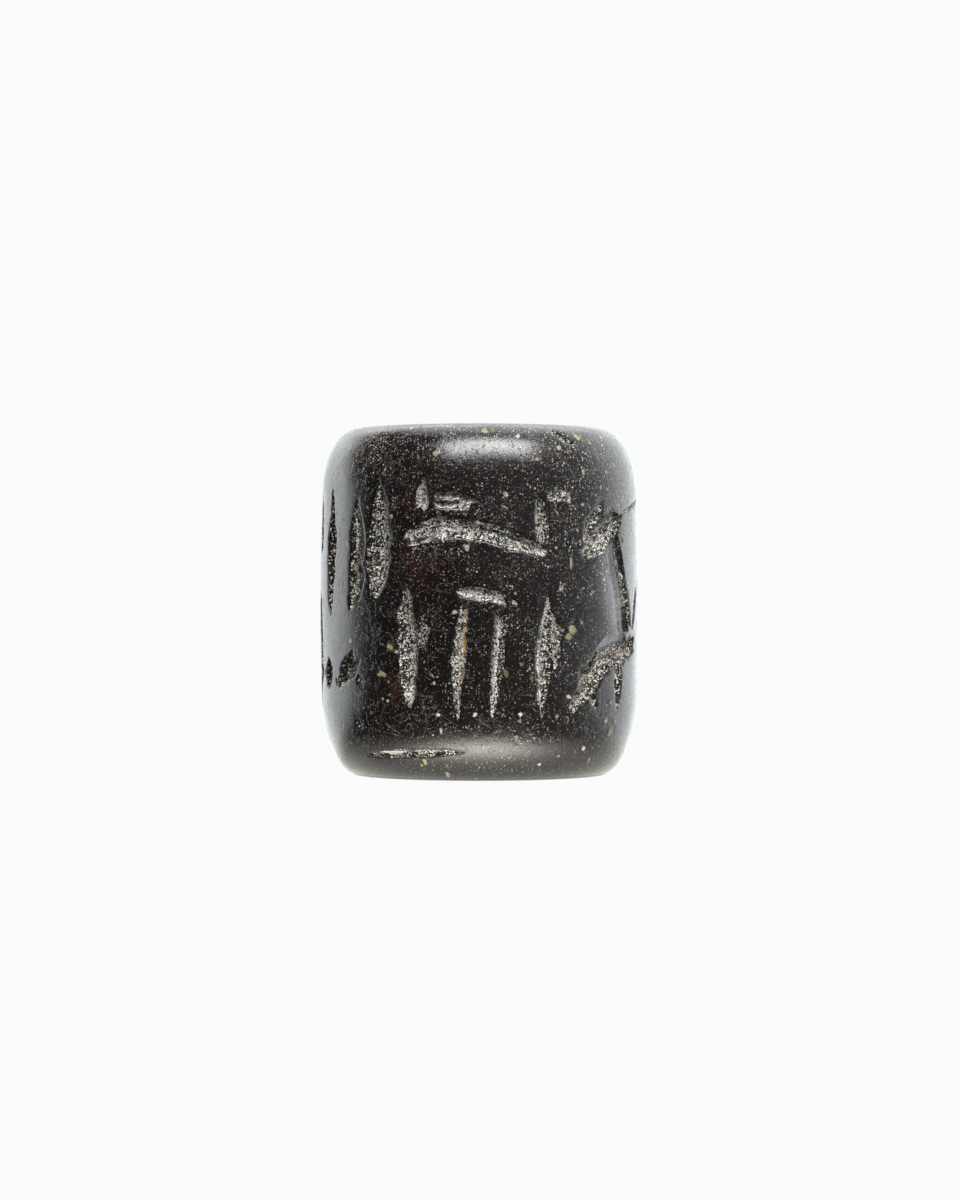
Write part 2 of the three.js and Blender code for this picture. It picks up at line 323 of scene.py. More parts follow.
GRAINS = [
    Grain(34.2, 0.422, 0.54, 0.6, OLIVE),
    Grain(32.7, 0.404, 0.38, 0.42, OLIVE),
    Grain(-33.1, 0.382, 0.4, 0.5, OLIVE),
    Grain(-36.2, 0.298, 0.62, 0.28, OLIVE),
    Grain(-36.2, 0.229, 0.2, 0.16, GOLD),
    Grain(-33.8, 0.277, 0.16, 0.2, OLIVE),
    Grain(-14.7, 0.187, 0.22, 0.16, PALE),
    Grain(-13.9, 0.142, 0.16, 0.34, OLIVE),
    Grain(-15.9, 0.276, 0.2, 0.18, PALE),
    Grain(-14.9, 0.293, 0.14, 0.14, PALE),
    Grain(-21.4, 0.054, 0.26, 0.34, OLIVE),
    Grain(-23.2, 0.046, 0.18, 0.2, OLIVE),
    Grain(-13.2, 0.018, 0.34, 0.3, OLIVE),
    Grain(9.2, 0.304, 0.34, 0.44, BROWN),
    Grain(18.3, 0.288, 0.2, 0.2, BROWN),
    Grain(33.3, 0.236, 0.4, 0.2, PALE),
    Grain(14.5, 0.191, 0.26, 0.24, PALE),
    Grain(28.5, 0.182, 0.22, 0.26, OLIVE),
    Grain(13.3, 0.127, 0.2, 0.16, OLIVE),
    Grain(66.3, 0.359, 0.22, 0.22, GOLD),
    Grain(54.3, 0.218, 0.26, 0.24, OLIVE),
    Grain(59.6, 0.207, 0.22, 0.2, PALE),
    Grain(52.1, 0.165, 0.26, 0.3, PALE),
    Grain(58.1, 0.162, 0.3, 0.2, OLIVE),
    Grain(55.7, 0.131, 0.34, 0.5, OLIVE),
    Grain(47.6, 0.055, 0.2, 0.36, OLIVE),
    Grain(5.3, 0.391, 0.16, 0.16, PALE),
    Grain(39.8, 0.861, 0.24, 0.46, OLIVE),
    Grain(52.1, 0.864, 0.22, 0.2, PALE),
    Grain(36.6, 0.701, 0.14, 0.14, PALE),
    Grain(43.6, 0.528, 0.2, 0.18, OLIVE),
    Grain(33.6, 0.602, 0.12, 0.9, OLIVE),
    Grain(12.5, 0.523, 0.16, 0.16, OLIVE),
    Grain(19.6, 0.816, 0.14, 0.12, PALE),
    Grain(62.5, 0.676, 0.34, 0.3, BROWN),
    Grain(-4.2, 0.649, 0.24, 0.42, PALE),
    Grain(-53.7, 0.665, 0.2, 0.2, OLIVE),
    Grain(-51.1, 0.598, 0.36, 0.5, OLIVE),
    Grain(-50.7, 0.502, 0.26, 0.4, GOLD),
    Grain(-32.8, 0.736, 0.24, 0.34, OLIVE),
    Grain(-33.1, 0.688, 0.26, 0.2, OLIVE),
    Grain(-43.1, 0.609, 0.16, 0.22, BROWN),
    Grain(-25.8, 0.736, 0.2, 0.18, OLIVE),
    Grain(-23.5, 0.717, 0.14, 0.16, PALE),
    Grain(-16.1, 0.912, 0.34, 0.4, OLIVE),
    Grain(2.2, 0.978, 0.4, 0.3, OLIVE),
    Grain(30.9, 0.93, 0.36, 0.3, OLIVE),
    Grain(41.4, 0.963, 0.5, 0.3, OLIVE),
    Grain(46.9, 0.946, 0.3, 0.2, OLIVE),
]


class Bloom(NamedTuple):
    """A soft patch where the stone is browner than elsewhere."""

    turn: float
    rise: float
    reach: float


BLOOMS = [
    Bloom(-24.2, 0.8, 0.8),
    Bloom(-24.4, 0.64, 0.6),
    Bloom(-20.6, 0.6, 0.9),
    Bloom(-17.3, 0.46, 0.6),
    Bloom(-30.6, 0.255, 0.9),
    Bloom(-52.0, 0.94, 1.2),
    Bloom(128.0, 0.3, 1.2),
    Bloom(214.0, 0.7, 1.2),
]

# Stains: the ochre thread of one upright and the fresh white chip at the foot. The bright threads along the
# floors of the cuts are painted reflection of those floors, painted white like the chip. Each is a stroke
# whose dust is its strength.
OCHRE = [
    Stroke(-4.9, 0.487, -5.3, 0.46, Graver(0.16, 1.0), dust=0.7),
    Stroke(-5.2, 0.43, -5.4, 0.411, Graver(0.17, 1.0), head=0.7, tail=0.7, dust=1.0),
    Stroke(-5.3, 0.405, -5.8, 0.358, Graver(0.19, 1.0), head=0.7, tail=0.7, dust=1.0),
    Stroke(-5.6, 0.31, -5.4, 0.275, Graver(0.2, 1.0), dust=0.65),
]
CHIP_AND_PAINTED_REFLECTIONS = [
    Stroke(-42.6, 0.0755, -29.2, 0.079, Graver(0.36, 1.0), dust=1.0),
    Stroke(7.6, 0.468, 6.7, 0.36, Graver(0.18, 1.0), head=0.6, tail=0.8, dust=0.7),
    Stroke(6.8, 0.37, 4.8, 0.19, Graver(0.22, 1.0), head=0.6, dust=0.66),
    Stroke(24.9, 0.5, 21.5, 0.36, Graver(0.2, 1.0), dust=0.74),
    Stroke(21.5, 0.39, 21.3, 0.27, Graver(0.2, 1.0), head=0.7, dust=0.72),
    Stroke(21.3, 0.3, 23.3, 0.185, Graver(0.2, 1.0), dust=0.64),
    Stroke(-50.4, 0.77, -50.9, 0.62, Graver(0.26, 1.0), head=0.5, tail=0.5, dust=0.62),
    Stroke(-39.2, 0.66, -39.9, 0.6, Graver(0.34, 1.0), dust=0.62),
    Stroke(-38.9, 0.58, -38.6, 0.53, Graver(0.34, 1.0), dust=0.62),
    Stroke(-36.2, 0.8, -34.9, 0.7, Graver(0.2, 1.0), dust=0.58),
    Stroke(20.9, 0.78, 20.9, 0.7, Graver(0.18, 1.0), dust=0.65),
    Stroke(-24.6, 0.35, -25.4, 0.21, Graver(0.2, 1.0), dust=0.6),
    Stroke(-7.6, 0.26, -8.2, 0.2, Graver(0.3, 1.0), dust=0.5),
    Stroke(-51.6, 0.775, -51.6, 0.69, Graver(0.2, 1.0), dust=0.5),
]


# The outline of the stone

def rounding_fall(into, depth):
    """How far an end's rounding is drawn in, from 0 where it starts to its depth at the end face."""
    return depth * (1 - np.sqrt(1 - np.clip(into, 0, 1) ** 2))


def outer_radius(z):
    """Radius of the outside at a height: a crowned wall, drawn in to an ellipse at each end."""
    from_middle = (z - MID_HEIGHT) / MID_HEIGHT
    into_top = (z - (SEAL_HEIGHT - TOP_ROUNDING_HEIGHT)) / TOP_ROUNDING_HEIGHT
    into_foot = (FOOT_ROUNDING_HEIGHT - z) / FOOT_ROUNDING_HEIGHT
    return (
        SEAL_RADIUS
        - WALL_CROWN * from_middle**2
        - rounding_fall(into_top, TOP_ROUNDING_DEPTH)
        - rounding_fall(into_foot, FOOT_ROUNDING_DEPTH)
    )


def top_half_of_bore():
    """Sections from the bore's waist to the outer edge of the top face: points and cell size of each."""
    lip_centre = np.array([BORE_MOUTH_RADIUS + BORE_LIP, SEAL_HEIGHT - BORE_LIP])
    angles = np.linspace(math.pi, math.pi / 2, 9)
    lip = lip_centre + BORE_LIP * np.column_stack([np.cos(angles), np.sin(angles)])
    bore = np.array([[BORE_WAIST_RADIUS, MID_HEIGHT], lip[0]])
    face = np.array([lip[-1], [float(outer_radius(SEAL_HEIGHT)), SEAL_HEIGHT]])
    return [(bore, BORE_CELL), (lip, LIP_CELL), (face, FACE_CELL)]


def outline_sections():
    """The whole section, from the bore's waist over the top, down the wall and back up the bore."""
    turning = np.linspace(0, math.pi, 601)
    heights = MID_HEIGHT * (1 + np.cos(turning))
    wall = np.column_stack([outer_radius(heights), heights])
    upper = top_half_of_bore()
    lower = []
    for points, cell in reversed(upper):
        flipped = points[::-1].copy()
        flipped[:, 1] = SEAL_HEIGHT - flipped[:, 1]
        lower.append((flipped, cell))
    lower[0][0][0] = wall[-1]
    return [*upper, (wall, SURFACE_CELL), *lower]


class Outline:
    """The stone's section as a function of the run along it."""

    def __init__(self, sections):
        points = [sections[0][0][:1]]
        rows = [np.zeros(1)]
        edges = [0.0]
        for section, cell in sections:
            steps = np.hypot(*np.diff(section, axis=0).T)
            start = edges[-1]
            edges.append(start + steps.sum())
            points.append(section[1:])
            count = math.ceil(steps.sum() / cell)
            rows.append(np.linspace(start, edges[-1], count + 1)[1:])
        self.points = np.concatenate(points)
        self.run = np.concatenate([[0.0], np.cumsum(np.hypot(*np.diff(self.points, axis=0).T))])
        self.rows = np.concatenate(rows)
        self.edges = edges
        self.wall = (edges[3], edges[4])
        way = np.gradient(self.points, self.run, axis=0)
        self.normals = np.column_stack([-way[:, 1], way[:, 0]])

    def at(self, run):
        """Radius and height at a run, and the outward direction there."""
        radius, height = (np.interp(run, self.run, self.points[:, k]) for k in (0, 1))
        out_r, out_z = (np.interp(run, self.run, self.normals[:, k]) for k in (0, 1))
        size = np.hypot(out_r, out_z)
        return radius, height, out_r / size, out_z / size


# The marks on it

def around(arc):
    """An arc brought to within half a turn of zero."""
    return (arc + CIRCUMFERENCE / 2) % CIRCUMFERENCE - CIRCUMFERENCE / 2


def chance_line(rng, spacing, reach):
    """A wavy line from -1 to 1, as a function of one length."""
    knots = np.arange(-reach, reach + spacing, spacing)
    values = rng.uniform(-1, 1, len(knots))
    return lambda x: np.interp(x, knots, values)


class Track:
    """Where points lie against one stroke, once its ragged edges are allowed for."""

    def __init__(self, stroke, arc, z, rng=None):
        reach_arc = math.radians(stroke.turn1 - stroke.turn0) * SEAL_RADIUS
        reach_z = (stroke.rise1 - stroke.rise0) * SEAL_HEIGHT
        self.length = math.hypot(reach_arc, reach_z)
        way_arc = reach_arc / self.length
        way_z = reach_z / self.length
        off_arc = around(arc - math.radians(stroke.turn0) * SEAL_RADIUS)
        off_z = z - stroke.rise0 * SEAL_HEIGHT
        self.along = off_arc * way_arc + off_z * way_z
        share = self.along / self.length
        sway = stroke.bow * 4 * share * (1 - share)
        self.across = off_z * way_arc - off_arc * way_z - sway
        half = stroke.graver.width / 2
        fray = 0.0
        if rng is not None:
            left, right = (chance_line(rng, 0.4, 12) for _ in range(2))
            side = np.where(self.across > 0, left(self.along), right(self.along))
            half = half * (1 + RAGGED_WIDTH * side)
            fray = RAGGED_ENDS * stroke.graver.width * chance_line(rng, 0.13, 3)(self.across)
            self.across = self.across + WANDER * chance_line(rng, 0.7, 12)(self.along)
        share = (self.along + fray) / self.length
        first = share / (2 * stroke.peak)
        second = 0.5 + (share - stroke.peak) / (2 * (1 - stroke.peak))
        swelling = np.sin(math.pi * np.clip(np.where(share < stroke.peak, first, second), 0, 1))
        least = np.where(share < stroke.peak, stroke.head, stroke.tail)
        self.full = least + (1 - least) * swelling**0.75
        self.half = half * self.full
        before = -self.along - fray
        beyond = self.along + fray - self.length
        self.outside = np.maximum.reduce([np.abs(self.across) - self.half, before, beyond])
        floor = FLOOR_SHARE * self.half
        middle = (self.half - floor) * stroke.lean
        self.off_middle = self.across - middle
        left = (self.half - self.across) / np.maximum(self.half - middle - floor, 1e-6)
        right = (self.half + self.across) / np.maximum(self.half + middle - floor, 1e-6)
        ends = np.clip(-np.maximum(before, beyond) / END_WALL, 0, 1)
        self.sunk = np.clip(np.minimum(left, right), 0, 1) * ends
        self.feathered = np.clip(left, 0, 1) * np.clip(right, 0, 1) ** 2 * ends


def grain_nearness(grain, arc, z):
    """How far points are from a grain's middle, where 1 is its edge."""
    off_arc = around(arc - math.radians(grain.turn) * SEAL_RADIUS)
    off_z = z - grain.rise * SEAL_HEIGHT
    return np.hypot(off_arc / (grain.width / 2), off_z / (grain.height / 2))


def bloom_at(arc, z):
    """How brown the stone is at points, from 0 to 1."""
    strongest = np.zeros(len(arc))
    for bloom in BLOOMS:
        off_arc = around(arc - math.radians(bloom.turn) * SEAL_RADIUS)
        off = np.hypot(off_arc, z - bloom.rise * SEAL_HEIGHT)
        strongest = np.maximum(strongest, np.exp(-((off / bloom.reach) ** 2)))
    return strongest


def distance_to_marks(arc, z):
    """How far points are from the edge of the nearest stroke or grain, below 0 inside it."""
    nearest = np.full(len(arc), 1e3)
    for stroke in STROKES:
        nearest = np.minimum(nearest, Track(stroke, arc, z).outside)
    for grain in GRAINS:
        size = max(grain.width, grain.height) / 2
        nearest = np.minimum(nearest, (grain_nearness(grain, arc, z) - 1) * size)
    return nearest


class Marks:
    """Depth of the cuts at each point of the surface, and masks for what has settled on it."""

    def __init__(self, arc, z, grit):
        count = len(arc)
        self.depth = np.zeros(count)
        self.ground = np.zeros(count)
        self.wear = np.zeros(count)
        self.core = np.zeros(count)
        self.along = np.zeros(count)
        self.across = np.zeros(count)
        self.dust = np.zeros(count)
        self.earth = np.zeros(count)
        for number, stroke in enumerate(STROKES):
            self.cut(stroke, arc, z, np.random.default_rng(number))
        in_cut = np.clip(self.depth / 0.12, 0, 1)
        self.depth = np.maximum(self.depth + CUT_GRIT * grit * in_cut, 0)
        self.grain = np.zeros(count)
        self.grain_tint = np.full(count, PALE)
        for grain in GRAINS:
            mask = np.clip((1.1 - grain_nearness(grain, arc, z) + 0.5 * grit) / 0.4, 0, 1)
            self.grain_tint = np.where(mask > self.grain, grain.tint, self.grain_tint)
            self.grain = np.maximum(self.grain, mask)
        self.ochre = self.stain(OCHRE, arc, z, 500)
        self.fresh = self.stain(CHIP_AND_PAINTED_REFLECTIONS, arc, z, 600)

    def cut(self, stroke, arc, z, rng):
        track = Track(stroke, arc, z, None if stroke.polished else rng)
        if stroke.polished:
            depth = stroke.graver.depth * track.full * track.feathered
            self.ground = np.maximum(self.ground, depth)
            return
        depth = stroke.graver.depth * track.full * track.sunk**WALL_STEEPNESS
        depth = depth * (1 + COMBED * chance_line(rng, 0.1, 3)(track.across))
        deeper = depth > self.depth
        self.depth = np.where(deeper, depth, self.depth)
        # Pale along each cut's deepest line: the dust that settles there, and painted reflection of the floor
        on_line = np.exp(-((track.off_middle / DEEPEST_LINE) ** 2)) * (0.1 + abs(stroke.lean))
        up_the_walls = np.clip(track.sunk + stroke.dust, 0, 1)
        self.core = np.where(deeper, up_the_walls * (0.5 + on_line), self.core)
        self.along = np.where(deeper, track.along + rng.uniform(0, 50), self.along)
        self.across = np.where(deeper, track.across, self.across)
        self.dust = np.where(deeper, stroke.dust, self.dust)
        self.earth = np.where(deeper, stroke.earth, self.earth)
        worn = min(1.0, stroke.graver.depth / PLAIN.depth) * LIP_WEAR
        fading = np.exp(-((np.maximum(track.outside, 0) / LIP_WEAR_REACH) ** 2))
        self.wear = np.maximum(self.wear, worn * fading)

    @staticmethod
    def stain(strokes, arc, z, seed):
        """A mask that is as strong along each stroke as its dust."""
        mask = np.zeros(len(arc))
        for number, stroke in enumerate(strokes):
            track = Track(stroke, arc, z, np.random.default_rng(seed + number))
            mask = np.maximum(mask, stroke.dust * np.clip(-track.outside / 0.06, 0, 1))
        return mask


# The stone's mesh

def rough(points, size, octaves=3, seed=0.0):
    """Fractal noise at points, from about -1 to 1, with swells of about the given size."""
    shift = Vector((seed, 2.3 * seed, -1.7 * seed))
    places = (Vector(point) / size + shift for point in points)
    return np.array([noise.fractal(place, 1.0, 2.0, octaves) for place in places])


def flat_sheet(outline):
    """The surface unrolled: the arc round the seal along X and the run along its outline along Y."""
    seam = math.radians(SEAM_TURN) * SEAL_RADIUS
    count = math.ceil(CIRCUMFERENCE / SURFACE_CELL)
    arcs = np.linspace(seam - CIRCUMFERENCE, seam, count + 1)
    sheet = bmesh.new()
    rows = [[sheet.verts.new((arc, run, 0)) for arc in arcs] for run in outline.rows]
    for lower, upper in zip(rows, rows[1:]):
        for k in range(count):
            sheet.faces.new((lower[k], upper[k], upper[k + 1], lower[k + 1]))
    return sheet


def refine(sheet, outline, reach):
    """Halves the cells of the sheet that are near a mark, away from the seam."""
    centres = np.array([face.calc_center_median()[:2] for face in sheet.faces])
    arc, run = centres.T
    height = outline.at(run)[1]
    wanted = distance_to_marks(arc, height) < reach
    wanted &= (run > outline.wall[0]) & (run < outline.wall[1])
    seam = math.radians(SEAM_TURN) * SEAL_RADIUS
    wanted &= np.abs(around(arc - seam)) > SURFACE_CELL
    edges = set()
    for face, near in zip(sheet.faces, wanted):
        if near:
            edges.update(face.edges)
    bmesh.ops.subdivide_edges(
        sheet, edges=list(edges), cuts=1, use_grid_fill=True, use_single_edge=True
    )


def lay_out(sheet, outline):
    """Texture coordinates: the sheet itself, with little of the height given to the bore."""
    layout = sheet.loops.layers.uv.new("unrolled")
    shares = [0.0, 0.05, 0.065, 0.11, 0.89, 0.935, 0.95, 1.0]
    first = min(vert.co.x for vert in sheet.verts)
    for face in sheet.faces:
        for loop in face.loops:
            across = (loop.vert.co.x - first) / CIRCUMFERENCE
            loop[layout].uv = (across, float(np.interp(loop.vert.co.y, outline.edges, shares)))


def carve(sheet, outline):
    """Rolls the sheet up into the stone, lowered by its wear and its marks, and names the masks."""
    arc, run = np.array([vert.co[:2] for vert in sheet.verts]).T
    radius, height, out_r, out_z = outline.at(run)
    turn = arc / SEAL_RADIUS
    points = np.column_stack([radius * np.sin(turn), -radius * np.cos(turn), height])
    on_wall = (run > outline.wall[0]) & (run < outline.wall[1])
    grit = rough(points, 0.22, 2, 3.0)
    stray_arc = EDGE_STRAY * rough(points, 0.5, 2, 11.0)
    stray_z = EDGE_STRAY * rough(points, 0.5, 2, 23.0)
    marks = Marks(arc + stray_arc, height + stray_z, grit)
    swell = SLOW_SWELL * (0.6 + 0.5 * rough(points, 6.0, 2, 31.0))
    swell += SHORT_SWELL * (1 + rough(points, 1.3, 2, 37.0))
    from_end = np.minimum(height, SEAL_HEIGHT - height)
    lowered = np.maximum(swell, 0.0) * np.clip(from_end / FOOT_ROUNDING_HEIGHT, 0, 1)
    cuts = np.maximum(marks.depth, marks.ground) + marks.wear - GRAIN_STANDS_OUT * marks.grain
    lowered = np.maximum(lowered + np.where(on_wall, cuts, 0), 0)
    radius = radius - out_r * lowered
    height = height - out_z * lowered
    masks = {
        "cut": marks.depth,
        "core": marks.core,
        "along": marks.along,
        "across": marks.across,
        "dust": marks.dust,
        "earth": marks.earth,
        "grain": marks.grain,
        "grain_tint": marks.grain_tint,
        "ochre": marks.ochre,
        "fresh": marks.fresh,
        "bloom": bloom_at(arc, height),
    }
    layers = {name: sheet.verts.layers.float.new(name) for name in masks}
    places = np.column_stack([radius * np.sin(turn), -radius * np.cos(turn), height]) * MM
    for number, vert in enumerate(sheet.verts):
        vert.co = places[number]
        for name, layer in layers.items():
            vert[layer] = masks[name][number] if on_wall[number] else 0.0


def make_seal():
    outline = Outline(outline_sections())
    sheet = flat_sheet(outline)
    for reach in MARK_REACHES:
        refine(sheet, outline, reach)
    lay_out(sheet, outline)
    carve(sheet, outline)
    bmesh.ops.remove_doubles(sheet, verts=sheet.verts, dist=1e-4 * MM)
    bmesh.ops.recalc_face_normals(sheet, faces=sheet.faces)
    for face in sheet.faces:
        face.smooth = True
    mesh = bpy.data.meshes.new("seal")
    sheet.to_mesh(mesh)
    sheet.free()
    seal = bpy.data.objects.new("seal", mesh)
    bpy.context.scene.collection.objects.link(seal)
    return seal


# Materials

class Value:
    """A shader socket that takes part in Python sums."""

    def __init__(self, finish, socket):
        self.finish = finish
        self.socket = socket

    def math(self, operation, first, second):
        return self.finish.node("ShaderNodeMath", {"operation": operation}, {0: first, 1: second})

    def sibling(self, name):
        """Another output of the same node."""
        return Value(self.finish, self.socket.node.outputs[name])

    def __add__(self, other):
        return self.math("ADD", self, other)

    def __radd__(self, other):
        return self.math("ADD", other, self)

    def __sub__(self, other):
        return self.math("SUBTRACT", self, other)

    def __rsub__(self, other):
        return self.math("SUBTRACT", other, self)

    def __mul__(self, other):
        return self.math("MULTIPLY", self, other)

    def __rmul__(self, other):
        return self.math("MULTIPLY", other, self)

    def __truediv__(self, other):
        return self.math("DIVIDE", self, other)


class Finish:
    """A material in the making."""

    def __init__(self, name):
        self.material = bpy.data.materials.new(name)
        self.material.use_nodes = True
        self.tree = self.material.node_tree
        self.tree.nodes.clear()

    def node(self, kind, settings=None, inputs=None, output=0):
        """A new node: its settings first, then its sockets. Gives one of its outputs back."""
        made = self.tree.nodes.new(kind)
        for name, setting in (settings or {}).items():
            if name == "stops":
                self.set_stops(made.color_ramp, setting)
            else:
                setattr(made, name, setting)
        for name, value in (inputs or {}).items():
            socket = self.open_socket(made, name)
            if isinstance(value, Value):
                self.tree.links.new(value.socket, socket)
            else:
                socket.default_value = value
        outputs = [socket for socket in made.outputs if socket.enabled]
        chosen = outputs[output] if isinstance(output, int) else made.outputs[output]
        return Value(self, chosen)

    @staticmethod
    def open_socket(made, name):
        if isinstance(name, int):
            return made.inputs[name]
        return next(socket for socket in made.inputs if socket.enabled and socket.name == name)

    @staticmethod
    def set_stops(ramp, stops):
        while len(ramp.elements) < len(stops):
            ramp.elements.new(1.0)
        for element, (position, colour) in zip(ramp.elements, stops):
            element.position = position
            element.color = (*colour, 1.0)

    def attribute(self, name):
        return self.node("ShaderNodeAttribute", {"attribute_name": name}, output="Fac")

    def noise(self, place, scale, detail=2.0, roughness=0.5, distortion=0.0):
        sockets = {
            "Vector": place,
            "Scale": scale,
            "Detail": detail,
            "Roughness": roughness,
            "Distortion": distortion,
        }
        return self.node("ShaderNodeTexNoise", {}, sockets)

    def ramp(self, value, low, high):
        """0 below low, 1 above high, and smooth between them."""
        sockets = {"Value": value, "From Min": low, "From Max": high}
        settings = {"interpolation_type": "SMOOTHSTEP"}
        return self.node("ShaderNodeMapRange", settings, sockets)

    def mix(self, factor, first, second):
        """Colours mixed by a factor. A colour is three numbers or a socket."""
        sockets = {"Factor": factor}
        for name, colour in (("A", first), ("B", second)):
            sockets[name] = colour if isinstance(colour, Value) else (*colour, 1.0)
        return self.node("ShaderNodeMix", {"data_type": "RGBA"}, sockets)

    def stretched(self, place, lengths, degrees=0.0):
        """A place turned in its plane, and then measured in the given lengths."""
        turned = (0.0, 0.0, math.radians(degrees))
        sockets = {"Vector": place, "Rotation": turned, "Scale": lengths}
        return self.node("ShaderNodeMapping", {"vector_type": "TEXTURE"}, sockets)

    def moved(self, place, offset):
        sockets = {0: place, 1: offset}
        return self.node("ShaderNodeVectorMath", {"operation": "ADD"}, sockets)

    def most(self, first, second):
        return first.math("MAXIMUM", first, second)

    def finish(self, shader):
        output = self.tree.nodes.new("ShaderNodeOutputMaterial")
        self.tree.links.new(shader.socket, output.inputs["Surface"])
        return self.material


def millimetres(finish):
    """The place on the object in millimetres."""
    place = finish.node("ShaderNodeTexCoord", output="Object")
    scaled = {0: place, 1: (1 / MM, 1 / MM, 1 / MM)}
    return finish.node("ShaderNodeVectorMath", {"operation": "MULTIPLY"}, scaled)


def unrolled_millimetres(finish):
    """The place on the unrolled wall in millimetres."""
    layout = finish.node("ShaderNodeUVMap", {"uv_map": "unrolled"})
    scaled = {0: layout, 1: (CIRCUMFERENCE, LAYOUT_LENGTH, 1.0)}
    return finish.node("ShaderNodeVectorMath", {"operation": "MULTIPLY"}, scaled)


def specks(finish, place, spacing, smallest, largest, share):
    """Spots of chance size on a share of the cells: a mask, and a chance number for each spot."""
    sockets = {"Vector": place, "Scale": 1 / spacing, "Randomness": 1.0}
    distance = finish.node("ShaderNodeTexVoronoi", {}, sockets, output="Distance")
    colour = distance.sibling("Color")
    chance = finish.node("ShaderNodeSeparateColor", {}, {"Color": colour}, output="Red")
    first = 1 - share
    size = (chance - first) * ((largest - smallest) / spacing / share) + smallest / spacing
    mask = 1 - finish.ramp(distance / size, 0.7, 1.3)
    return mask * finish.ramp(chance, first, first + 0.01), chance.sibling("Green")


def chance_cells(finish, place, spacing):
    """A chance number for each cell of crystals of about the given size."""
    sockets = {"Vector": place, "Scale": 1 / spacing, "Randomness": 1.0}
    colour = finish.node("ShaderNodeTexVoronoi", {}, sockets, output="Color")
    return finish.node("ShaderNodeSeparateColor", {}, {"Color": colour}, output="Red")


def scratches(finish, sheet, angle, seed):
    """Short thin streaks at one angle."""
    moved = finish.moved(sheet, (seed, 1.7 * seed, 0.0))
    streak = finish.noise(finish.stretched(moved, (1.8, 0.03, 1.0), angle), 1.0, 1.0, 0.5)
    return finish.ramp(streak, 0.7, 0.77)


SPECK_TINTS = [
    (0.0, (0.2, 0.13, 0.06)),
    (0.2, (0.32, 0.28, 0.17)),
    (0.5, (0.4, 0.39, 0.37)),
    (1.0, (0.64, 0.63, 0.6)),
]
GRAIN_TINTS = [
    (BROWN, (0.1, 0.065, 0.025)),
    (GOLD, (0.3, 0.19, 0.055)),
    (OLIVE, (0.26, 0.24, 0.13)),
    (PALE, (0.42, 0.4, 0.32)),
]


